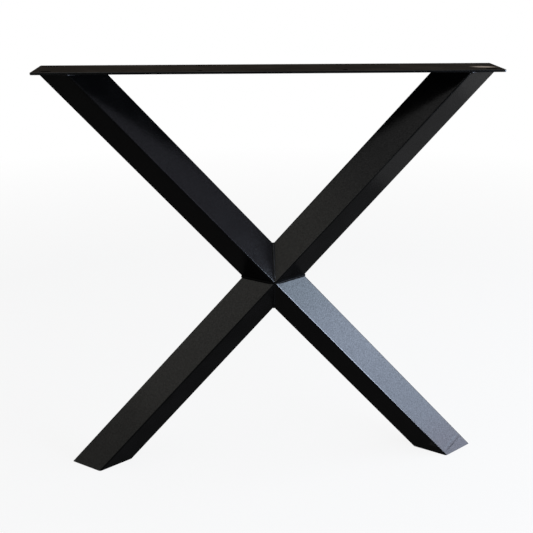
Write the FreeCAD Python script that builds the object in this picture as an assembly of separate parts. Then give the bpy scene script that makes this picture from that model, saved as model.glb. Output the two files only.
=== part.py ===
import FreeCAD, Part

import math
import os

# An X shaped table leg, welded from four square tubes that stand edge-on to the viewer.
# Two tubes lean down and inwards from a flat mounting plate, and two lean down and outwards from
# the crossing to the floor. At the crossing each tube is cut to a point on two planes: the upright
# plane x = 0, where left meets right, and the level plane through the crossing, where upper meets
# lower. The origin is on the floor, midway between the feet. X runs along the plate, Y runs from
# the front to the back, and all lengths are in millimetres.

# Whole leg
overall_height = 740.0

# Mounting plate
plate_length = 780.0
plate_depth = 100.0
plate_thickness = 4.0
plate_corner_radius = 2.0
plate_edge_chamfer = 0.5

# Screw holes in the plate, kept clear of the tubes below it
slot_width = 9.0
slot_length = 20.0
slot_end_distance = 22.0
hole_radius = 4.5
hole_spacing = 240.0
hole_edge_distance = 14.0

# Square tube of the four arms
tube_side = 60.0
tube_wall = 2.0
tube_corner_radius = 3.0
arm_end_margin = 1.0

# Plates let into the mouths of the lower tubes
foot_plate_thickness = 3.0
foot_plate_clearance = 0.1

# Weld metal: round beads that stand a little proud of the valleys, and a fillet under the plate
level_bead_radius = 2.4
level_bead_rise = 0.7
upright_bead_radius = 2.5
upright_bead_rise = 0.5
bead_bend_radius = 2.8
top_fillet_leg = 3.0

X = FreeCAD.Vector(1, 0, 0)
Y = FreeCAD.Vector(0, 1, 0)
Z = FreeCAD.Vector(0, 0, 1)
ORIGIN = FreeCAD.Vector(0, 0, 0)


def half_diagonal(side, radius):
    """Distance from a square's centre to the crown of one of its rounded corners."""
    return side / math.sqrt(2) - (math.sqrt(2) - 1) * radius


def solve_arm_offset():
    """Half the distance between two arm ends, so that their outer corners reach the end margin.

    A tube that leans over by the angle t is cut level into a rhombus that is 1 / cos(t) longer
    than the tube's own diagonal, and tan(t) is the full arm distance over the frame's height. The
    offset a solves a + reach / cos(t) = room, which is a quadratic in a.
    """
    reach = half_diagonal(tube_side, tube_corner_radius)
    room = plate_length / 2 - arm_end_margin
    square_term = 1 - (2 * reach / frame_height) ** 2
    root = math.sqrt(room**2 - square_term * (room**2 - reach**2))
    return (room - root) / square_term


frame_height = overall_height - plate_thickness
crossing_height = frame_height / 2
arm_offset = solve_arm_offset()
lean = math.atan2(arm_offset, crossing_height)
arm_ends = {"left": -arm_offset, "right": arm_offset}
bar_half_length = plate_length + frame_height


def diamond_wire(side, radius):
    """A square outline standing on one corner, with rounded corners."""
    point = (side - 2 * radius) / math.sqrt(2)
    corners = [X * point, Y * point, X * -point, Y * -point]
    wire = Part.makePolygon(corners + corners[:1])
    return wire.makeOffset2D(radius) if radius > 0 else wire


def leaning_bar(side, radius, angle):
    """A bar of diamond section that runs through the crossing, leaning over by an angle."""
    bar = Part.Face(diamond_wire(side, radius)).extrude(Z * (2 * bar_half_length))
    bar.translate(Z * -bar_half_length)
    bar.rotate(ORIGIN, Y, math.degrees(angle))
    bar.translate(Z * crossing_height)
    return bar


def quarter_space(hand, bottom, top):
    """The block of space to one side of the upright mitre plane, between two levels."""
    corner_x = -plate_length if hand == "left" else 0
    corner = FreeCAD.Vector(corner_x, -plate_depth, bottom)
    return Part.makeBox(plate_length, 2 * plate_depth, top - bottom, corner)


def arm_angle(level, hand):
    """The signed lean of one arm: its upper end goes to the left when it is negative."""
    return -lean if (level, hand) in (("upper", "left"), ("lower", "right")) else lean


def arm_levels(level):
    """The lowest and highest level of the upper or the lower arms."""
    return (crossing_height, frame_height) if level == "upper" else (0, crossing_height)


def arm_envelope(level, hand):
    """One arm as a filled bar, with its mitred point at the crossing and its level end."""
    bar = leaning_bar(tube_side, tube_corner_radius, arm_angle(level, hand))
    return bar.common(quarter_space(hand, *arm_levels(level)))


def tube_bore(level, hand, clearance=0.0):
    """The space inside one arm's tube, less a clearance all round, as an endless bar."""
    bore_side = tube_side - 2 * tube_wall - 2 * clearance
    bore_radius = tube_corner_radius - tube_wall - clearance
    return leaning_bar(bore_side, bore_radius, arm_angle(level, hand))


def arm_tube(level, hand):
    """One arm: a hollow square tube cut to a double mitre at one end and level at the other."""
    return arm_envelope(level, hand).cut(tube_bore(level, hand))


def foot_plate(hand):
    """The plate that closes a lower tube's mouth, flush with the cut end on the floor."""
    bore = tube_bore("lower", hand, foot_plate_clearance)
    return bore.common(quarter_space(hand, 0, foot_plate_thickness))


def screw_slot(x, y):
    """The cutter for one slot, long along the plate."""
    half_straight = (slot_length - slot_width) / 2
    radius = slot_width / 2
    left = FreeCAD.Vector(x - half_straight, y, frame_height)
    right = FreeCAD.Vector(x + half_straight, y, frame_height)
    ends = [Part.makeCylinder(radius, plate_thickness, centre) for centre in (left, right)]
    middle_corner = FreeCAD.Vector(x - half_straight, y - radius, frame_height)
    middle = Part.makeBox(2 * half_straight, slot_width, plate_thickness, middle_corner)
    return middle.fuse(ends)


def screw_hole(x, y):
    """The cutter for one round hole."""
    centre = FreeCAD.Vector(x, y, frame_height)
    return Part.makeCylinder(hole_radius, plate_thickness, centre)


def screw_cutters():
    """Slots at the plate's four corners and four round holes between the arms."""
    row = plate_depth / 2 - hole_edge_distance
    slot_x = plate_length / 2 - slot_end_distance
    cutters = []
    for y in (-row, row):
        for sign in (-1, 1):
            cutters.append(screw_slot(sign * slot_x, y))
            cutters.append(screw_hole(sign * hole_spacing / 2, y))
    return cutters


def is_upright_corner(edge):
    """Whether an edge of the bar is one of its four upright corners."""
    return edge.BoundBox.ZLength > plate_thickness / 2


def plate_blank(bottom, thickness):
    """A block with the plate's length and depth, from one level up."""
    corner = FreeCAD.Vector(-plate_length / 2, -plate_depth / 2, bottom)
    return Part.makeBox(plate_length, plate_depth, thickness, corner)


def mounting_plate():
    """A flat bar with its edges taken off, drilled and slotted for the table top's screws."""
    bar = plate_blank(frame_height, plate_thickness)
    upright = [edge for edge in bar.Edges if is_upright_corner(edge)]
    bar = bar.makeFillet(plate_corner_radius, upright)
    rims = [edge for edge in bar.Edges if not is_upright_corner(edge)]
    bar = bar.makeChamfer(plate_edge_chamfer, rims)
    return bar.cut(screw_cutters())


def valley_ring(along, half_along, rise):
    """The closed line over the valleys round the crossing in one plane, bent round its corners."""
    half_across = tube_side / math.sqrt(2)
    centre = Z * crossing_height
    corners = [centre + along * half_along, centre + Y * half_across]
    corners += [centre - along * half_along, centre - Y * half_across]
    sharp = Part.makePolygon(corners + corners[:1])
    return sharp.makeOffset2D(-bead_bend_radius).makeOffset2D(bead_bend_radius + rise)


def round_ring(along, half_along, radius, rise):
    """A closed ring of round section that follows the valleys round the crossing."""
    path = valley_ring(along, half_along, rise)
    first = path.OrderedEdges[0]
    start = first.valueAt(first.FirstParameter)
    section = Part.Wire(Part.makeCircle(radius, start, first.tangentAt(first.FirstParameter)))
    return path.makePipeShell([section], True, False)


def level_ring():
    """The ring in the level plane, between the upper and the lower arms."""
    half_along = tube_side / math.sqrt(2) / math.cos(lean)
    return round_ring(X, half_along, level_bead_radius, level_bead_rise)


def upright_ring():
    """The ring in the upright plane, between the left and the right arms."""
    half_along = tube_side / math.sqrt(2) / math.sin(lean)
    return round_ring(Z, half_along, upright_bead_radius, upright_bead_rise)


def envelopes():
    """All four arms as filled bars."""
    return [arm_envelope(level, hand) for level in ("upper", "lower") for hand in arm_ends]


def crossing_weld():
    """The bead in the level valleys, all the way round the crossing."""
    return level_ring().cut(envelopes())


def mitre_weld(level):
    """The bead in the upright valleys above or below the crossing, from the front to the back."""
    margin = level_bead_radius / 2
    bottom = crossing_height + margin if level == "upper" else 0
    top = frame_height if level == "upper" else crossing_height - margin
    halves = [quarter_space(hand, bottom, top) for hand in arm_ends]
    return upright_ring().common(halves[0].fuse(halves[1])).cut(envelopes() + [level_ring()])


def top_weld(hand):
    """The fillet weld round the top of an upper arm, under the mounting plate."""
    envelope = arm_envelope("upper", hand)
    grown_bar = leaning_bar(
        tube_side + 2 * top_fillet_leg,
        tube_corner_radius + top_fillet_leg,
        arm_angle("upper", hand),
    )
    toe_level = frame_height - top_fillet_leg
    bar = leaning_bar(tube_side, tube_corner_radius, arm_angle("upper", hand))
    root_outline = grown_bar.slice(Z, frame_height)[0]
    toe_outline = bar.slice(Z, toe_level)[0]
    collar = Part.makeLoft([toe_outline, root_outline], True, True)
    return collar.common(plate_blank(toe_level, top_fillet_leg)).cut(envelope)


def build_parts():
    """Every piece of the leg by its name."""
    parts = {"mounting_plate": mounting_plate()}
    for hand in arm_ends:
        for level in ("upper", "lower"):
            parts[f"{level}_{hand}_arm"] = arm_tube(level, hand)
        parts[f"{hand}_foot_plate"] = foot_plate(hand)
        parts[f"{hand}_top_weld"] = top_weld(hand)
    parts["crossing_weld"] = crossing_weld()
    for level in ("upper", "lower"):
        parts[f"{level}_mitre_weld"] = mitre_weld(level)
    return parts


os.makedirs("parts", exist_ok=True)
for name, shape in build_parts().items():
    solids = len(shape.Solids)
    box = shape.BoundBox
    print(f"{name}: {solids} solid(s), valid {shape.isValid()}, {shape.Volume:.1f} mm3,", end=" ")
    print(f"x {box.XMin:.2f}..{box.XMax:.2f}, y {box.YMin:.2f}..{box.YMax:.2f},", end=" ")
    print(f"z {box.ZMin:.2f}..{box.ZMax:.2f}")
    shape.exportStep(f"parts/{name}.step")
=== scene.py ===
"""An X shaped table leg of black powder-coated square tube, in a plain studio.

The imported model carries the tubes, the mounting plate and the foot plates. This script gives them
their coat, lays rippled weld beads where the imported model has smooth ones, and sets up the lamps,
the floor and the camera. The origin is on the floor midway between the feet, X runs along the
mounting plate, Y from the front to the back, and lengths are in metres unless a name says mm.
"""

import logging
import math
from collections.abc import Iterable
from dataclasses import dataclass, field
from enum import Enum

import bpy
from mathutils import Matrix, Vector


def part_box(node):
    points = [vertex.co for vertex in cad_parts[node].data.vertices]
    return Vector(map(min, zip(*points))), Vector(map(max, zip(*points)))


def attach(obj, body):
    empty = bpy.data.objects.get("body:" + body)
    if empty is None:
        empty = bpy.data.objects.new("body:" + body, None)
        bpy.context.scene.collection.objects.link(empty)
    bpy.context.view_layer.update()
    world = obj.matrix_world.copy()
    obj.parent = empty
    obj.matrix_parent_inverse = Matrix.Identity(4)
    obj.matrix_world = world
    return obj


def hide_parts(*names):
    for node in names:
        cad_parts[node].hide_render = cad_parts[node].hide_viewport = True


LOG = logging.getLogger("table_leg")
MM = 0.001
IMAGE_SIDE_PX = 533
SENSOR_MM = 36.0
POLYESTER_IOR = 1.5
NOISE_MEAN = 0.5

# The tubes' cross section, and the points that the weld beads follow
TUBE_SIDE_MM = 60.0
CROSSING_HEIGHT_MM = 368.0
ARM_OFFSET_MM = 333.426
FRAME_HEIGHT_MM = 2 * CROSSING_HEIGHT_MM
LEAN = math.atan2(ARM_OFFSET_MM, CROSSING_HEIGHT_MM)
HALF_DIAGONAL_MM = TUBE_SIDE_MM / math.sqrt(2)

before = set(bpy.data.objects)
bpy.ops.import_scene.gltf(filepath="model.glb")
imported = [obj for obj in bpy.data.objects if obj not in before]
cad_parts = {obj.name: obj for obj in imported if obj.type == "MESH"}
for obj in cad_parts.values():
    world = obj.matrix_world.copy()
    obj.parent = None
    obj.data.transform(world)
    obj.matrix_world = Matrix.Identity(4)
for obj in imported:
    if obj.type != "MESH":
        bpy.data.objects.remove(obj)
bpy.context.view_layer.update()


class Level(Enum):
    """Where an arm or a bead stands: above the crossing or below it."""

    UPPER = "upper"
    LOWER = "lower"

    @property
    def sign(self) -> int:
        """1 above the crossing and -1 below it."""
        return 1 if self is Level.UPPER else -1


class Hand(Enum):
    """The side of the leg, as seen from the front."""

    LEFT = "left"
    RIGHT = "right"

    @property
    def sign(self) -> int:
        """-1 on the left and 1 on the right."""
        return 1 if self is Hand.RIGHT else -1


def linear(colour: str) -> tuple[float, float, float, float]:
    """Turn an sRGB colour into the linear values that shaders take.

    Args:
        colour: The colour as #rrggbb.

    Returns:
        Linear red, green and blue, and an alpha of 1.
    """
    shares = [int(colour[i : i + 2], 16) / 255 for i in (1, 3, 5)]
    values = [s / 12.92 if s <= 0.04045 else ((s + 0.055) / 1.055) ** 2.4 for s in shares]
    return (*values, 1.0)


def add_node(
    tree: bpy.types.NodeTree,
    kind: str,
    inputs: dict | None = None,
    **settings: object,
) -> bpy.types.Node:
    """Add one node with its settings and its links.

    Args:
        tree: The node tree that gets the node.
        kind: The node's type, such as ShaderNodeMath.
        inputs: A constant or an output socket for each input, by its name or its number.
        **settings: The node's own properties.

    Returns:
        The new node.
    """
    node = tree.nodes.new(kind)
    for name, value in settings.items():
        setattr(node, name, value)
    for key, value in (inputs or {}).items():
        socket = node.inputs[key]
        if isinstance(value, bpy.types.NodeSocket):
            tree.links.new(value, socket)
        else:
            socket.default_value = value
    return node


def grains_per_metre(size_mm: float) -> float:
    """The noise scale that gives grains of a size on Object coordinates."""
    return 1 / (size_mm * MM)


@dataclass(frozen=True)
class Streak:
    """A soft-edged oblong region on a surface, in Object coordinates.

    Attributes:
        centre_mm: The region's middle.
        half_size_mm: Its half size along its own axes.
        turn_y: How far it is turned about Y, in radians.
        turn_z: How far it is turned about Z, in radians.
        core: The share of the half size within which it is at full strength.
    """

    centre_mm: tuple[float, float, float]
    half_size_mm: tuple[float, float, float]
    turn_y: float = 0.0
    turn_z: float = 0.0
    core: float = 0.2

    def mask(self, tree: bpy.types.NodeTree, place: bpy.types.NodeSocket) -> bpy.types.NodeSocket:
        """Draw the region.

        Args:
            tree: The material's node tree.
            place: The Object coordinates.

        Returns:
            A socket that is 1 in the region's middle and falls to 0 at its edge.
        """
        mapping = add_node(
            tree,
            "ShaderNodeMapping",
            {
                "Vector": place,
                "Location": Vector(self.centre_mm) * MM,
                "Rotation": (0.0, self.turn_y, self.turn_z),
                "Scale": Vector(self.half_size_mm) * MM,
            },
            vector_type="TEXTURE",
        )
        length = add_node(
            tree, "ShaderNodeVectorMath", {0: mapping.outputs[0]}, operation="LENGTH"
        )
        ramp = add_node(
            tree,
            "ShaderNodeMapRange",
            {"Value": length.outputs["Value"], "From Min": 1.0, "From Max": self.core},
            interpolation_type="SMOOTHSTEP",
        )
        return ramp.outputs[0]


@dataclass(frozen=True)
class PowderCoat:
    """Black polyester powder coat, sprayed dry and baked into a fine, hard texture.

    It gives the eye a deep black with a broad sheen that breaks up into a fine grain. The real
    grain is about 0.4 mm, too fine to show at a leg's full height, so it is drawn coarser.

    Attributes:
        name: The material's name.
        body: The coat's colour.
        worn_and_highlight_colour: The colour where hands and cartons have worn the coat, and of any
            painted highlight.
        roughness: The mean roughness.
        grain_mm: The size of the drawn grain.
        grain_height_mm: How far the grain stands up.
        grain_range: The values of the grain's noise that stand for its pits and its crowns.
        gleam: The mean specular level.
        grain_gleam: How much more the crowns gleam than the mean, and the pits less.
        flow_mm: The size of the slow waves that the melting powder left.
        flow_height_mm: How far those waves stand up.
        worn: How strongly the worn clouds and specks show.
        worn_roughness: How much rougher the coat is where it is worn.
        cloud_mm: The size of the worn clouds, 18 to the metre.
        cloud_range: The values of the clouds' noise at which they start and are full.
        cloud_cover: How worn a full cloud is.
        speck_mm: The size of the worn specks.
        speck_range: The values of the specks' noise at which they start and are full.
        speck_cover: How worn a full speck is.
        settled: How much dust lies on what faces up. Above 0, only such faces are worn or dusty.
        up_range: How upright a normal has to be to start to face up, and to face up in full.
        painted_highlight: The region of a painted highlight, in the pale colour, if there is one.
        crease: The region of a shallow ridge across a tube, if there is one.
        crease_height_mm: How far that ridge stands up.
        slope: How fast the relief rises along X, Y and Z, for a tube that stands out of line.
    """

    name: str
    body: str = "#040404"
    worn_and_highlight_colour: str = "#131211"
    roughness: float = 0.14
    grain_mm: float = 2.4
    grain_height_mm: float = 0.08
    grain_range: tuple[float, float] = (0.3, 0.7)
    gleam: float = 0.5
    grain_gleam: float = 0.3
    flow_mm: float = 16.0
    flow_height_mm: float = 0.08
    worn: float = 1.0
    worn_roughness: float = 0.12
    cloud_mm: float = 1000 / 18
    cloud_range: tuple[float, float] = (0.4, 0.75)
    cloud_cover: float = 0.3
    speck_mm: float = 3.0
    speck_range: tuple[float, float] = (0.66, 0.74)
    speck_cover: float = 0.5
    settled: float = 0.0
    up_range: tuple[float, float] = (0.75, 0.95)
    painted_highlight: Streak | None = None
    crease: Streak | None = None
    crease_height_mm: float = 0.16
    slope: tuple[float, float, float] | None = None

    def grain(self, tree: bpy.types.NodeTree, place: bpy.types.NodeSocket) -> bpy.types.NodeSocket:
        """Draw the coat's fine texture.

        Args:
            tree: The material's node tree.
            place: The Object coordinates.

        Returns:
            A socket from 0 in the pits to 1 on the crowns.
        """
        noise = add_node(
            tree,
            "ShaderNodeTexNoise",
            {"Vector": place, "Scale": grains_per_metre(self.grain_mm), "Detail": 3.0},
        )
        return noise.outputs[0]

    def height(
        self,
        tree: bpy.types.NodeTree,
        place: bpy.types.NodeSocket,
        grain: bpy.types.NodeSocket,
    ) -> bpy.types.NodeSocket:
        """Draw the coat's relief.

        Args:
            tree: The material's node tree.
            place: The Object coordinates.
            grain: The fine texture.

        Returns:
            A normal socket with the slow waves, any crease, any slope and the grain.
        """
        flow = add_node(
            tree,
            "ShaderNodeTexNoise",
            {"Vector": place, "Scale": grains_per_metre(self.flow_mm), "Detail": 1.0},
        )
        reliefs = [(self.flow_height_mm * MM, flow.outputs[0])]
        if self.crease is not None:
            reliefs.append((self.crease_height_mm * MM, self.crease.mask(tree, place)))
        if self.slope is not None:
            rise = add_node(
                tree, "ShaderNodeVectorMath", {0: place, 1: self.slope}, operation="DOT_PRODUCT"
            )
            reliefs.append((1.0, rise.outputs["Value"]))
        reliefs.append((self.grain_height_mm * MM, grain))
        below = {}
        for distance, relief in reliefs:
            inputs = {"Distance": distance, "Height": relief, **below}
            below = {"Normal": add_node(tree, "ShaderNodeBump", inputs).outputs[0]}
        return below["Normal"]

    def wear_and_highlight(self, tree: bpy.types.NodeTree, place: bpy.types.NodeSocket) -> bpy.types.NodeSocket:
        """Draw where the coat is worn and dusty, and where a highlight is painted.

        Args:
            tree: The material's node tree.
            place: The Object coordinates.

        Returns:
            A socket from 0, as sprayed, to 1, where the pale colour is full.
        """
        cloud = add_node(
            tree,
            "ShaderNodeTexNoise",
            {"Vector": place, "Scale": grains_per_metre(self.cloud_mm), "Detail": 4.0},
        )
        speck = add_node(
            tree,
            "ShaderNodeTexNoise",
            {"Vector": place, "Scale": grains_per_metre(self.speck_mm), "Detail": 2.0},
        )
        cover = add_node(
            tree,
            "ShaderNodeMapRange",
            {
                "Value": cloud.outputs[0],
                "From Min": self.cloud_range[0],
                "From Max": self.cloud_range[1],
                "To Max": self.cloud_cover * self.worn,
            },
        )
        dust = add_node(
            tree,
            "ShaderNodeMapRange",
            {
                "Value": speck.outputs[0],
                "From Min": self.speck_range[0],
                "From Max": self.speck_range[1],
                "To Max": self.speck_cover * self.worn,
            },
        )
        total = add_node(
            tree,
            "ShaderNodeMath",
            {0: cover.outputs[0], 1: dust.outputs[0]},
            operation="MAXIMUM",
            use_clamp=True,
        )
        # A painted highlight, where one is given, takes the pale colour too
        if self.painted_highlight is not None:
            total = add_node(
                tree,
                "ShaderNodeMath",
                {0: self.painted_highlight.mask(tree, place), 1: total.outputs[0]},
                operation="ADD",
                use_clamp=True,
            )
        if self.settled > 0:
            total = add_node(
                tree,
                "ShaderNodeMath",
                {0: total.outputs[0], 1: self.settled},
                operation="ADD",
                use_clamp=True,
            )
            total = add_node(
                tree,
                "ShaderNodeMath",
                {0: total.outputs[0], 1: self.facing_up(tree)},
                operation="MULTIPLY",
            )
        return total.outputs[0]

    def facing_up(self, tree: bpy.types.NodeTree) -> bpy.types.NodeSocket:
        """Draw where the surface faces up.

        Args:
            tree: The material's node tree.

        Returns:
            A socket that is 1 on level tops and 0 on upright sides and below.
        """
        normal = add_node(tree, "ShaderNodeTexCoord").outputs["Normal"]
        height = add_node(tree, "ShaderNodeSeparateXYZ", {0: normal}).outputs["Z"]
        ramp = add_node(
            tree,
            "ShaderNodeMapRange",
            {"Value": height, "From Min": self.up_range[0], "From Max": self.up_range[1]},
        )
        return ramp.outputs[0]

    def build(self) -> bpy.types.Material:
        """Build the material.

        Returns:
            The material, ready to be put in a slot.
        """
        material = bpy.data.materials.new(self.name)
        material.use_nodes = True
        tree = material.node_tree
        tree.nodes.clear()
        place = add_node(tree, "ShaderNodeTexCoord").outputs["Object"]
        grain = self.grain(tree, place)
        wear_and_highlight = self.wear_and_highlight(tree, place)
        # The sockets' names repeat for each data type, so the colours go in by number
        colour = add_node(
            tree,
            "ShaderNodeMix",
            {0: wear_and_highlight, 6: linear(self.body), 7: linear(self.worn_and_highlight_colour)},
            data_type="RGBA",
        )
        gleam = add_node(
            tree,
            "ShaderNodeMapRange",
            {
                "Value": grain,
                "From Min": self.grain_range[0],
                "From Max": self.grain_range[1],
                "To Min": self.gleam * (1 - self.grain_gleam),
                "To Max": self.gleam * (1 + self.grain_gleam),
            },
        )
        rough = add_node(
            tree,
            "ShaderNodeMapRange",
            {
                "Value": wear_and_highlight,
                "To Min": self.roughness,
                "To Max": self.roughness + self.worn_roughness,
            },
        )
        if self.settled > 0:
            # Dust takes the gloss off what faces up
            share = add_node(
                tree,
                "ShaderNodeMapRange",
                {"Value": self.facing_up(tree), "To Min": 1.0, "To Max": 0.0},
            )
            gleam = add_node(
                tree,
                "ShaderNodeMath",
                {0: gleam.outputs[0], 1: share.outputs[0]},
                operation="MULTIPLY",
            )
        shader = add_node(
            tree,
            "ShaderNodeBsdfPrincipled",
            {
                "Base Color": colour.outputs[2],
                "Roughness": rough.outputs[0],
                "IOR": POLYESTER_IOR,
                "Specular IOR Level": gleam.outputs[0],
                "Normal": self.height(tree, place, grain),
            },
        )
        add_node(tree, "ShaderNodeOutputMaterial", {"Surface": shader.outputs[0]})
        return material


@dataclass(frozen=True)
class BeadTree:
    """The Geometry Nodes tree that turns a line into a rippled bead of weld metal.

    Attributes:
        step_mm: The distance between two cross sections.
        sides: The number of points round a cross section.
        ridge_start: The share of the depth at which a bead starts to pinch towards a ridge.
        ridge_end: The share of the depth at which it is pinched in full.
        ripple_power: How steeply a ripple rises and then flattens.
        ripple_mean: About its mean height, which is taken off so that the bead keeps its size.
        swell_mm: The length of the slow swells of a hand-laid bead.
        swell_share: How many times a ripple's height those swells may span.
    """

    step_mm: float = 0.5
    sides: int = 14
    ridge_start: float = 0.78
    ridge_end: float = 0.97
    ripple_power: float = 0.6
    ripple_mean: float = 0.6
    swell_mm: float = 9.0
    swell_share: float = 2.0

    def build(self, material: bpy.types.Material) -> bpy.types.NodeTree:
        """Build the tree.

        Args:
            material: The finish of the bead.

        Returns:
            A tree with the inputs Radius, Pitch, Ripple, Bow, Pinch, Depth, Seed and Centre.
        """
        tree = bpy.data.node_groups.new("rippled_bead", "GeometryNodeTree")
        face = tree.interface
        face.new_socket("Geometry", in_out="INPUT", socket_type="NodeSocketGeometry")
        for name in ("Radius", "Pitch", "Ripple", "Bow", "Pinch", "Depth", "Seed"):
            face.new_socket(name, in_out="INPUT", socket_type="NodeSocketFloat")
        face.new_socket("Centre", in_out="INPUT", socket_type="NodeSocketVector")
        face.new_socket("Geometry", in_out="OUTPUT", socket_type="NodeSocketGeometry")
        given = add_node(tree, "NodeGroupInput").outputs
        line = add_node(tree, "GeometryNodeMeshToCurve", {"Mesh": given["Geometry"]})
        line = add_node(
            tree,
            "GeometryNodeResampleCurve",
            {"Curve": line.outputs[0], "Length": self.step_mm * MM},
            mode="LENGTH",
        )
        place = add_node(tree, "GeometryNodeInputPosition").outputs[0]
        deep = add_node(tree, "ShaderNodeSeparateXYZ", {0: place}).outputs["Y"]
        depth = add_node(tree, "ShaderNodeMath", {0: deep}, operation="ABSOLUTE")
        share = add_node(
            tree, "ShaderNodeMath", {0: depth.outputs[0], 1: given["Depth"]}, operation="DIVIDE"
        )
        pinched = add_node(
            tree, "ShaderNodeMath", {0: 1.0, 1: given["Pinch"]}, operation="SUBTRACT"
        )
        width = add_node(
            tree,
            "ShaderNodeMapRange",
            {
                "Value": share.outputs[0],
                "From Min": self.ridge_start,
                "From Max": self.ridge_end,
                "To Min": 1.0,
                "To Max": pinched.outputs[0],
            },
            interpolation_type="SMOOTHSTEP",
        )
        line = add_node(
            tree,
            "GeometryNodeSetCurveRadius",
            {"Curve": line.outputs[0], "Radius": width.outputs[0]},
        )
        along = add_node(tree, "GeometryNodeSplineParameter").outputs["Length"]
        line = add_node(
            tree,
            "GeometryNodeStoreNamedAttribute",
            {"Geometry": line.outputs[0], "Name": "along", "Value": along},
            data_type="FLOAT",
            domain="POINT",
        )
        ring = add_node(
            tree,
            "GeometryNodeCurvePrimitiveCircle",
            {"Resolution": self.sides, "Radius": given["Radius"]},
        )
        bead = add_node(
            tree,
            "GeometryNodeCurveToMesh",
            {
                "Curve": line.outputs[0],
                "Profile Curve": ring.outputs[0],
                "Scale": add_node(tree, "GeometryNodeInputRadius").outputs[0],
                "Fill Caps": True,
            },
        )
        normal = add_node(tree, "GeometryNodeInputNormal").outputs[0]
        outward = add_node(
            tree, "ShaderNodeVectorMath", {0: place, 1: given["Centre"]}, operation="SUBTRACT"
        )
        outward = add_node(
            tree, "ShaderNodeVectorMath", {0: outward.outputs[0]}, operation="NORMALIZE"
        )
        crown = add_node(
            tree,
            "ShaderNodeVectorMath",
            {0: outward.outputs[0], 1: normal},
            operation="DOT_PRODUCT",
        ).outputs["Value"]
        stored = add_node(tree, "GeometryNodeInputNamedAttribute", {"Name": "along"})
        bow = add_node(
            tree, "ShaderNodeMath", {0: given["Bow"], 1: crown}, operation="MULTIPLY"
        )
        travelled = add_node(
            tree,
            "ShaderNodeMath",
            {0: stored.outputs[0], 1: bow.outputs[0]},
            operation="SUBTRACT",
        )
        turns = add_node(
            tree,
            "ShaderNodeMath",
            {0: travelled.outputs[0], 1: given["Pitch"]},
            operation="DIVIDE",
        )
        phase = add_node(tree, "ShaderNodeMath", {0: turns.outputs[0]}, operation="FRACT")
        crest = add_node(
            tree,
            "ShaderNodeMath",
            {0: phase.outputs[0], 1: self.ripple_power},
            operation="POWER",
        )
        wave = add_node(
            tree,
            "ShaderNodeMath",
            {0: crest.outputs[0], 1: self.ripple_mean},
            operation="SUBTRACT",
        )
        ripple = add_node(
            tree,
            "ShaderNodeMath",
            {0: wave.outputs[0], 1: given["Ripple"]},
            operation="MULTIPLY",
        )
        uneven = add_node(
            tree,
            "ShaderNodeTexNoise",
            {"Vector": place, "W": given["Seed"], "Scale": grains_per_metre(self.swell_mm)},
            noise_dimensions="4D",
        )
        centred = add_node(
            tree, "ShaderNodeMath", {0: uneven.outputs[0], 1: NOISE_MEAN}, operation="SUBTRACT"
        )
        swell = add_node(
            tree,
            "ShaderNodeMath",
            {0: centred.outputs[0], 1: given["Ripple"]},
            operation="MULTIPLY",
        )
        rise = add_node(
            tree,
            "ShaderNodeMath",
            {0: swell.outputs[0], 1: self.swell_share, 2: ripple.outputs[0]},
            operation="MULTIPLY_ADD",
        )
        push = add_node(
            tree, "ShaderNodeVectorMath", {0: normal, "Scale": rise.outputs[0]}, operation="SCALE"
        )
        bead = add_node(
            tree,
            "GeometryNodeSetPosition",
            {"Geometry": bead.outputs[0], "Offset": push.outputs[0]},
        )
        bead = add_node(tree, "GeometryNodeSetShadeSmooth", {"Geometry": bead.outputs[0]})
        bead = add_node(tree, "GeometryNodeRealizeInstances", {"Geometry": bead.outputs[0]})
        bead = add_node(
            tree,
            "GeometryNodeSetMaterial",
            {"Geometry": bead.outputs[0], "Material": material},
        )
        add_node(tree, "NodeGroupOutput", {0: bead.outputs[0]})
        return tree


def rounded(corners: list[Vector], radius: float, closed: bool, steps: int = 6) -> list[Vector]:
    """Bend a line round its corners.

    Args:
        corners: The line's corners.
        radius: The radius of the bends.
        closed: Whether the last corner joins the first.
        steps: The number of chords in a bend.

    Returns:
        The points of the bent line.
    """
    points = []
    count = len(corners)
    for i, corner in enumerate(corners):
        if not closed and i in (0, count - 1):
            points.append(corner)
            continue
        back = (corners[i - 1] - corner).normalized()
        ahead = (corners[(i + 1) % count] - corner).normalized()
        half_angle = back.angle(ahead) / 2
        middle = corner + (back + ahead).normalized() * (radius / math.sin(half_angle))
        start = (corner + back * (radius / math.tan(half_angle)) - middle).normalized()
        end = (corner + ahead * (radius / math.tan(half_angle)) - middle).normalized()
        for k in range(steps + 1):
            points.append(middle + start.slerp(end, k / steps) * radius)
    return points


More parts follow.
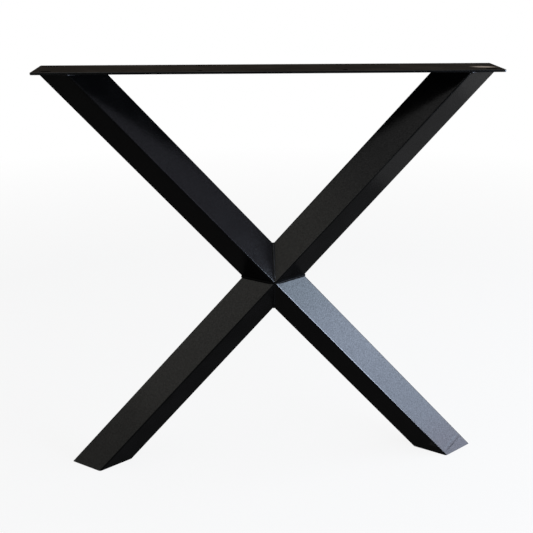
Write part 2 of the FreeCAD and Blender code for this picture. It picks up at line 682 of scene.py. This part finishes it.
@dataclass(frozen=True)
class WeldBead:
    """One rippled bead of weld metal.

    Attributes:
        name: The piece's name.
        node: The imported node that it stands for.
        points_mm: The line that it follows.
        closed: Whether the line's end joins its start.
        centre_mm: A point that the bead's crown faces away from.
        radius_mm: The bead's radius.
        seed: What makes its unevenness its own.
        pinch: The share that the radius loses at the front and back ridges.
        pitch_mm: The distance from one ripple to the next.
        ripple_mm: The height of a ripple.
    """

    name: str
    node: str
    points_mm: list[Vector]
    closed: bool
    centre_mm: Vector
    radius_mm: float
    seed: float
    pinch: float = 0.0
    pitch_mm: float = 1.8
    ripple_mm: float = 0.3

    def line(self) -> bpy.types.Object:
        """The bead's line as a mesh of edges."""
        mesh = bpy.data.meshes.new(self.name + "_line")
        count = len(self.points_mm)
        edges = [(i, i + 1) for i in range(count - 1)]
        if self.closed:
            edges.append((count - 1, 0))
        mesh.from_pydata([point * MM for point in self.points_mm], edges, [])
        thing = bpy.data.objects.new(self.name + "_line", mesh)
        bpy.context.scene.collection.objects.link(thing)
        return thing

    def build(self, tree: bpy.types.NodeTree, material: bpy.types.Material) -> bpy.types.Object:
        """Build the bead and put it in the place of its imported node.

        Args:
            tree: The tree that makes a bead from a line.
            material: The bead's finish.

        Returns:
            The finished piece.
        """
        source = self.line()
        modifier = source.modifiers.new("bead", "NODES")
        modifier.node_group = tree
        values = {
            "Radius": self.radius_mm * MM,
            "Pitch": self.pitch_mm * MM,
            "Ripple": self.ripple_mm * MM,
            "Bow": self.radius_mm * MM,
            "Pinch": self.pinch,
            "Depth": HALF_DIAGONAL_MM * MM,
            "Seed": self.seed,
            "Centre": self.centre_mm * MM,
        }
        for item in tree.interface.items_tree:
            if item.in_out == "INPUT" and item.name in values:
                modifier[item.identifier] = values[item.name]
        bpy.context.view_layer.update()
        shown = source.evaluated_get(bpy.context.evaluated_depsgraph_get())
        mesh = bpy.data.meshes.new_from_object(shown)
        bpy.data.objects.remove(source)
        mesh.name = self.name
        mesh.materials.clear()
        mesh.materials.append(material)
        piece = bpy.data.objects.new(self.name, mesh)
        bpy.context.scene.collection.objects.link(piece)
        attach(piece, "root")
        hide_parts(self.node)
        LOG.info("%s: %d faces", self.name, len(mesh.polygons))
        return piece


def pushed_out(along: float, deep: float, rise: float) -> tuple[float, float]:
    """Move the sides of a rhombus outwards.

    Args:
        along: Half its first diagonal.
        deep: Half its second diagonal.
        rise: How far the sides move.

    Returns:
        Half of both diagonals afterwards.
    """
    side = math.hypot(along, deep)
    return along + rise * side / deep, deep + rise * side / along


@dataclass
class WeldMetal:
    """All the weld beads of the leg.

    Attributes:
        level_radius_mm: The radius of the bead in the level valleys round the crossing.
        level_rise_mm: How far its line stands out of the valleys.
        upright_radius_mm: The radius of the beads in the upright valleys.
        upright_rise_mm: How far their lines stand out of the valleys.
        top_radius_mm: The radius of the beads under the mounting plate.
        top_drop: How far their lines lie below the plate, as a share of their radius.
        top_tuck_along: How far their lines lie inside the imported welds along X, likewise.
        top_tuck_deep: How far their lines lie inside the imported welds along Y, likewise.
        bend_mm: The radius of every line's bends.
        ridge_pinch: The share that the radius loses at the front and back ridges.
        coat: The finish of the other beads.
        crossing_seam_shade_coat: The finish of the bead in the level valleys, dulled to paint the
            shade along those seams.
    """

    level_radius_mm: float = 2.7
    level_rise_mm: float = 0.65
    upright_radius_mm: float = 2.3
    upright_rise_mm: float = 0.4
    top_radius_mm: float = 2.4
    top_drop: float = 0.35
    top_tuck_along: float = 0.75
    top_tuck_deep: float = 0.9
    bend_mm: float = 3.2
    ridge_pinch: float = 0.5
    coat: PowderCoat = field(
        default_factory=lambda: PowderCoat(
            "weld_bead_black_powder_coat", roughness=0.36, grain_mm=1.2, flow_mm=6.0
        )
    )
    # A dull copy of the bead coat, so that the bead in the level valleys reads as a dark line:
    # painted shade along those seams
    crossing_seam_shade_coat: PowderCoat = field(
        default_factory=lambda: PowderCoat(
            "crossing_bead_painted_shade_black_powder_coat",
            roughness=0.5,
            gleam=0.08,
            grain_mm=1.2,
            flow_mm=6.0,
        )
    )

    def crossing(self) -> WeldBead:
        """The bead in the level valleys, all the way round the crossing."""
        middle = Vector((0, 0, CROSSING_HEIGHT_MM))
        half_along, half_deep = pushed_out(
            HALF_DIAGONAL_MM / math.cos(LEAN), HALF_DIAGONAL_MM, self.level_rise_mm
        )
        across = Vector((half_along, 0, 0))
        deep = Vector((0, half_deep, 0))
        corners = [middle + across, middle + deep, middle - across, middle - deep]
        points = rounded(corners, self.bend_mm, closed=True)
        return WeldBead(
            name="crossing_bead",
            node="crossing_weld",
            points_mm=points,
            closed=True,
            centre_mm=middle,
            radius_mm=self.level_radius_mm,
            seed=1.0,
            pinch=self.ridge_pinch,
        )

    def mitre(self, level: Level, seed: float) -> WeldBead:
        """The bead in the upright valleys above or below the crossing.

        Args:
            level: Where the bead is.
            seed: What makes its unevenness its own.

        Returns:
            The bead.
        """
        middle = Vector((0, 0, CROSSING_HEIGHT_MM))
        half_along, half_deep = pushed_out(
            HALF_DIAGONAL_MM / math.sin(LEAN), HALF_DIAGONAL_MM, self.upright_rise_mm
        )
        # Both ends stop in the tubes' metal, just behind the front and back ridges
        lift = Vector((0, 0, level.sign * self.level_radius_mm / 2))
        deep = Vector((0, half_deep - self.level_radius_mm, 0))
        tip = Vector((0, 0, level.sign * half_along))
        corners = [middle - deep + lift, middle + tip, middle + deep + lift]
        points = rounded(corners, self.bend_mm, closed=False)
        return WeldBead(
            name=f"{level.value}_mitre_bead",
            node=f"{level.value}_mitre_weld",
            points_mm=points,
            closed=False,
            centre_mm=middle,
            radius_mm=self.upright_radius_mm,
            seed=seed,
            pinch=self.ridge_pinch,
        )

    def top(self, hand: Hand, seed: float) -> WeldBead:
        """The bead round the top of an upper arm, under the mounting plate.

        Args:
            hand: The arm's side.
            seed: What makes its unevenness its own.

        Returns:
            The bead.
        """
        node_low, node_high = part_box(f"{hand.value}_top_weld")
        radius = self.top_radius_mm
        level = FRAME_HEIGHT_MM - radius * self.top_drop
        middle = Vector((hand.sign * ARM_OFFSET_MM, 0, level))
        outer_x = node_high.x if hand is Hand.RIGHT else node_low.x
        reach = abs(outer_x) / MM - ARM_OFFSET_MM
        across = Vector((reach - radius * self.top_tuck_along, 0, 0))
        deep = Vector((0, node_high.y / MM - radius * self.top_tuck_deep, 0))
        corners = [middle + across, middle + deep, middle - across, middle - deep]
        points = rounded(corners, self.bend_mm, closed=True)
        return WeldBead(
            name=f"{hand.value}_top_bead",
            node=f"{hand.value}_top_weld",
            points_mm=points,
            closed=True,
            centre_mm=middle,
            radius_mm=radius,
            seed=seed,
        )

    def build(self) -> None:
        """Build every bead."""
        # The dull coat paints shade along the level seams
        seam_shade_coat = self.crossing_seam_shade_coat.build()
        self.crossing().build(BeadTree().build(seam_shade_coat), seam_shade_coat)
        material = self.coat.build()
        tree = BeadTree().build(material)
        beads = [
            self.mitre(Level.UPPER, seed=2.0),
            self.mitre(Level.LOWER, seed=3.0),
            self.top(Hand.LEFT, seed=4.0),
            self.top(Hand.RIGHT, seed=5.0),
        ]
        for bead in beads:
            bead.build(tree, material)


@dataclass
class TubeFrame:
    """The four square tubes that cross."""

    coat: PowderCoat = field(
        default_factory=lambda: PowderCoat("square_tube_black_powder_coat")
    )
    # The real lower right tube catches the window all over and the upper left one doesn't, so they
    # are out of line. Here they are in line, and this coat's relief slopes by 3 degrees instead. A
    # faint ridge runs across the tube, a little above its foot.
    creased_coat: PowderCoat = field(
        default_factory=lambda: PowderCoat(
            "lower_right_tube_black_powder_coat",
            crease=Streak(
                centre_mm=(349.7, -19.5, 16.2),
                half_size_mm=(42.0, 60.0, 5.0),
                turn_y=-0.27,
                turn_z=0.77,
            ),
            slope=(-0.0352, 0.0, 0.0388),
        )
    )

    def build(self) -> None:
        """Coat every tube."""
        plain = self.coat.build()
        creased = self.creased_coat.build()
        for level in Level:
            for hand in Hand:
                has_crease = level is Level.LOWER and hand is Hand.RIGHT
                dress(f"{level.value}_{hand.value}_arm", creased if has_crease else plain)


@dataclass
class FlatSteel:
    """The mounting plate and the plates that close the feet."""

    # The upper face is matt with dust, and has a painted highlight near its right end, in the same
    # pale colour as the dust
    top_coat: PowderCoat = field(
        default_factory=lambda: PowderCoat(
            "mounting_plate_black_powder_coat",
            # Pale, for the dust and for the painted highlight
            worn_and_highlight_colour="#d0bfae",
            roughness=0.16,
            worn=0.1,
            settled=0.055,
            # The painted highlight near the right end
            painted_highlight=Streak(
                centre_mm=(362.0, -9.0, 740.0), half_size_mm=(28.0, 13.0, 6.0), turn_z=-0.15
            ),
        )
    )
    # The floor has scuffed this coat dull
    foot_coat: PowderCoat = field(
        default_factory=lambda: PowderCoat("foot_plate_black_powder_coat", roughness=0.45)
    )

    def build(self) -> None:
        """Coat every plate."""
        dress("mounting_plate", self.top_coat.build())
        feet = self.foot_coat.build()
        for hand in Hand:
            dress(f"{hand.value}_foot_plate", feet)


def dress(node: str, material: bpy.types.Material) -> None:
    """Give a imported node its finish.

    Args:
        node: The node's name.
        material: The finish.
    """
    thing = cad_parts[node]
    if not thing.material_slots:
        thing.data.materials.append(material)
    for slot in thing.material_slots:
        slot.material = material
    LOG.info("%s: %s", node, material.name)


def seen_white(tree: bpy.types.NodeTree, mirrored_share: float) -> bpy.types.NodeSocket:
    """How far a ray sees the white background.

    Args:
        tree: The node tree of a floor, a backdrop or the world.
        mirrored_share: The share of the white that reflections show.

    Returns:
        A socket that is 1 for the camera and for what glass lets through.
    """
    path = add_node(tree, "ShaderNodeLightPath").outputs
    straight = add_node(
        tree,
        "ShaderNodeMath",
        {0: path["Is Camera Ray"], 1: path["Is Transmission Ray"]},
        operation="ADD",
    )
    total = add_node(
        tree,
        "ShaderNodeMath",
        {0: path["Is Glossy Ray"], 1: mirrored_share, 2: straight.outputs[0]},
        operation="MULTIPLY_ADD",
        use_clamp=True,
    )
    return total.outputs[0]


@dataclass(frozen=True)
class Lamp:
    """One soft area lamp.

    Attributes:
        name: The lamp's name.
        centre: Its middle.
        aim: The point that it faces.
        size: Its width and height.
        level: How bright its face looks.
        colour: Its colour.
    """

    name: str
    centre: tuple[float, float, float]
    aim: tuple[float, float, float]
    size: tuple[float, float]
    level: float
    colour: str = "#ffffff"

    def build(self) -> bpy.types.Object:
        """Hang the lamp.

        Returns:
            The lamp's object.
        """
        data = bpy.data.lights.new(self.name, "AREA")
        data.shape = "RECTANGLE"
        data.size, data.size_y = self.size
        # The power at which the lamp's own face has its level
        data.energy = self.level * math.pi * self.size[0] * self.size[1]
        data.color = linear(self.colour)[:3]
        lamp = bpy.data.objects.new(self.name, data)
        lamp.location = self.centre
        facing = Vector(self.aim) - Vector(self.centre)
        lamp.rotation_mode = "QUATERNION"
        lamp.rotation_quaternion = facing.to_track_quat("-Z", "Y")
        lamp.visible_camera = False
        bpy.context.scene.collection.objects.link(lamp)
        return lamp


@dataclass
class Studio:
    """The floor, the lamps and the room round the leg.

    Attributes:
        floor_radius: The floor's radius.
        floor_sides: The number of its rim's corners.
        mirrored_floor_shade: The dark colour that the leg's coat mirrors of the floor, a painted
            shade round the leg.
        floor_white: What the camera sees of the floor.
        near_glow: How much of the floor's white by the leg is steady. The rest takes its shadow.
        near_edge: How far out from the leg that holds.
        far_edge: From where on all of the floor's white is steady.
        room_colour: The colour of the room beyond the lamps, as the leg sees it.
        mirrored_share: The share of the white background that reflections show.
        lamps: The soft lamps, which the coat mirrors.
    """

    floor_radius: float = 9.0
    floor_sides: int = 96
    mirrored_floor_shade: str = "#282522"
    floor_white: str = "#f4f4f2"
    near_glow: float = 0.88
    near_edge: float = 1.3
    far_edge: float = 3.0
    room_colour: str = "#0d0b09"
    mirrored_share: float = 0.03
    lamps: tuple[Lamp, ...] = (
        # A window on the right, in bands, with its corner towards the front
        Lamp("window_top", (2.4, -0.35, 1.17), (0.0, -0.35, 1.17), (2.3, 0.34), 6.5, "#d2e5fc"),
        Lamp("window_high", (2.4, -0.35, 0.81), (0.0, -0.35, 0.81), (2.3, 0.38), 7.4, "#d4e3fc"),
        Lamp("window_middle", (2.4, -1.4, 0.46), (0.0, -1.4, 0.46), (4.4, 0.32), 6.4, "#d4e3fc"),
        Lamp("window_foot", (2.4, -1.4, 0.17), (0.0, -1.4, 0.17), (4.4, 0.26), 5.2, "#dce2fb"),
        Lamp("window_corner", (2.35, -2.4, 0.29), (0.0, -2.4, 0.29), (2.4, 0.54), 30.0, "#d4e3fc"),
        Lamp("window_corner_top", (2.35, -2.6, 0.8), (0.0, -2.6, 0.8), (2.0, 0.4), 18.0, "#d4e3fc"),
        # The wall above it
        Lamp("window_wall_front", (2.35, -2.6, 1.9), (0.0, -2.6, 1.9), (2.0, 1.0), 0.5, "#e8e8ff"),
        Lamp("window_wall", (2.4, -1.4, 2.2), (0.0, -1.4, 2.2), (4.4, 1.6), 0.32, "#e8e8ff"),
        # A pale wall on the left, up to the ceiling
        Lamp("left_wall", (-2.4, -1.6, 1.6), (0.0, -1.6, 1.6), (4.4, 1.6), 0.47, "#fffdf6"),
        Lamp("left_wall_foot", (-2.4, -1.6, 0.42), (0.0, -1.6, 0.42), (4.4, 0.76), 0.3, "#fffdf6"),
        Lamp("left_wall_top", (-2.4, -1.6, 3.0), (0.0, -1.6, 3.0), (4.4, 1.2), 0.28),
        Lamp("left_wall_front", (-1.5, -3.7, 1.1), (-1.5, 0.0, 1.1), (1.8, 1.0), 0.8),
        Lamp("ceiling", (0.0, -0.6, 3.4), (0.0, -0.6, 0.0), (4.0, 4.0), 0.7),
        # Dim boards on the floor to the right, which the upper right tube's lower face mirrors
        Lamp("near_board", (0.5, 0.0, 0.02), (0.5, 0.0, 5.0), (0.4, 2.4), 0.03),
        Lamp("middle_board", (0.95, 0.0, 0.02), (0.95, 0.0, 5.0), (0.5, 2.4), 0.15),
        Lamp("far_board", (1.6, 0.0, 0.02), (1.6, 0.0, 5.0), (0.8, 2.4), 0.3),
        # The wall behind, which lights the mounting plate's top and the back
        Lamp("back_wall", (1.0, 3.5, 1.25), (1.0, 0.0, 1.25), (2.8, 0.8), 0.02, "#ffd8b4"),
        Lamp("back_wall_high", (0.0, 3.5, 3.2), (0.0, 0.0, 0.6), (6.0, 2.4), 0.5),
    )

    def floor_material(self) -> bpy.types.Material:
        """Make the floor: pale and matt to the camera, with the leg's shadow, and dark to the leg's
        reflections as painted shade.

        Returns:
            The floor's material.
        """
        material = bpy.data.materials.new("pale_matt_floor")
        material.use_nodes = True
        tree = material.node_tree
        tree.nodes.clear()
        # Reflections and bounce light see this dark floor, a painted shade round the leg, while the
        # camera sees the pale floor
        plain = add_node(tree, "ShaderNodeBsdfDiffuse", {"Color": linear(self.mirrored_floor_shade)})
        paper = add_node(tree, "ShaderNodeBsdfDiffuse", {"Color": linear(self.floor_white)})
        glow = add_node(tree, "ShaderNodeEmission", {"Strength": 1.0})
        place = add_node(tree, "ShaderNodeTexCoord").outputs["Object"]
        distance = add_node(tree, "ShaderNodeVectorMath", {0: place}, operation="LENGTH")
        share = add_node(
            tree,
            "ShaderNodeMapRange",
            {
                "Value": distance.outputs["Value"],
                "From Min": self.near_edge,
                "From Max": self.far_edge,
                "To Min": self.near_glow,
                "To Max": 1.0,
            },
        )
        pale = add_node(
            tree,
            "ShaderNodeMixShader",
            {0: share.outputs[0], 1: paper.outputs[0], 2: glow.outputs[0]},
        )
        shown = add_node(
            tree,
            "ShaderNodeMixShader",
            {0: seen_white(tree, self.mirrored_share), 1: plain.outputs[0], 2: pale.outputs[0]},
        )
        add_node(tree, "ShaderNodeOutputMaterial", {"Surface": shown.outputs[0]})
        return material

    def floor(self) -> None:
        """Lay the floor."""
        mesh = bpy.data.meshes.new("studio_floor")
        turns = [2 * math.pi * i / self.floor_sides for i in range(self.floor_sides)]
        rim = [
            (self.floor_radius * math.cos(t), self.floor_radius * math.sin(t), 0.0)
            for t in turns
        ]
        mesh.from_pydata(rim, [], [tuple(range(self.floor_sides))])
        mesh.materials.append(self.floor_material())
        floor = bpy.data.objects.new("studio_floor", mesh)
        bpy.context.scene.collection.objects.link(floor)

    def room(self) -> None:
        """Fill the space beyond the floor."""
        world = bpy.data.worlds.new("studio_room")
        world.use_nodes = True
        tree = world.node_tree
        tree.nodes.clear()
        dim = add_node(tree, "ShaderNodeBackground", {"Color": linear(self.room_colour)})
        white = add_node(
            tree, "ShaderNodeBackground", {"Color": linear("#ffffff"), "Strength": 1.0}
        )
        shown = add_node(
            tree,
            "ShaderNodeMixShader",
            {0: seen_white(tree, self.mirrored_share), 1: dim.outputs[0], 2: white.outputs[0]},
        )
        add_node(tree, "ShaderNodeOutputWorld", {"Surface": shown.outputs[0]})
        bpy.context.scene.world = world

    def build(self) -> None:
        """Set up the studio."""
        self.floor()
        self.room()
        for lamp in self.lamps:
            lamp.build()
            LOG.info("lamp %s", lamp.name)


@dataclass(frozen=True)
class PhotoCamera:
    """The camera, where the photograph was taken from.

    Attributes:
        place_mm: The lens's place.
        yaw: The turn to the right of +Y, in degrees.
        pitch: The tilt above the horizon, in degrees.
        roll: The turn about the line of sight, in degrees.
        focal_px: The focal length in pixels of the square image.
        centre_px: The pixel that the line of sight meets.
    """

    place_mm: tuple[float, float, float] = (-91.92, -1551.52, 920.63)
    yaw: float = 5.47
    pitch: float = -20.29
    roll: float = 0.29
    focal_px: float = 902.50
    centre_px: tuple[float, float] = (304.23, 286.96)

    def build(self) -> bpy.types.Object:
        """Set up the camera.

        Returns:
            The camera's object.
        """
        yaw, pitch, roll = (math.radians(a) for a in (self.yaw, self.pitch, self.roll))
        ahead = Vector(
            (math.sin(yaw) * math.cos(pitch), math.cos(yaw) * math.cos(pitch), math.sin(pitch))
        )
        level_right = Vector((math.cos(yaw), -math.sin(yaw), 0))
        level_up = level_right.cross(ahead)
        right = math.cos(roll) * level_right + math.sin(roll) * level_up
        up = -math.sin(roll) * level_right + math.cos(roll) * level_up
        data = bpy.data.cameras.new("photo_camera")
        data.sensor_width = SENSOR_MM
        data.lens = self.focal_px * SENSOR_MM / IMAGE_SIDE_PX
        middle = IMAGE_SIDE_PX / 2
        data.shift_x = (middle - self.centre_px[0]) / IMAGE_SIDE_PX
        data.shift_y = (self.centre_px[1] - middle) / IMAGE_SIDE_PX
        camera = bpy.data.objects.new("photo_camera", data)
        turn = Matrix((right, up, -ahead)).transposed()
        camera.matrix_world = Matrix.Translation(Vector(self.place_mm) * MM) @ turn.to_4x4()
        bpy.context.scene.collection.objects.link(camera)
        bpy.context.scene.camera = camera
        return camera


def main() -> None:
    """Build the looks of the leg and its studio."""
    logging.basicConfig(level=logging.INFO, format="%(name)s: %(message)s")
    PhotoCamera().build()
    for assembly in (TubeFrame(), FlatSteel(), WeldMetal(), Studio()):
        assembly.build()
    bpy.context.scene.view_settings.view_transform = "Standard"


if __name__ == "__main__":
    main()
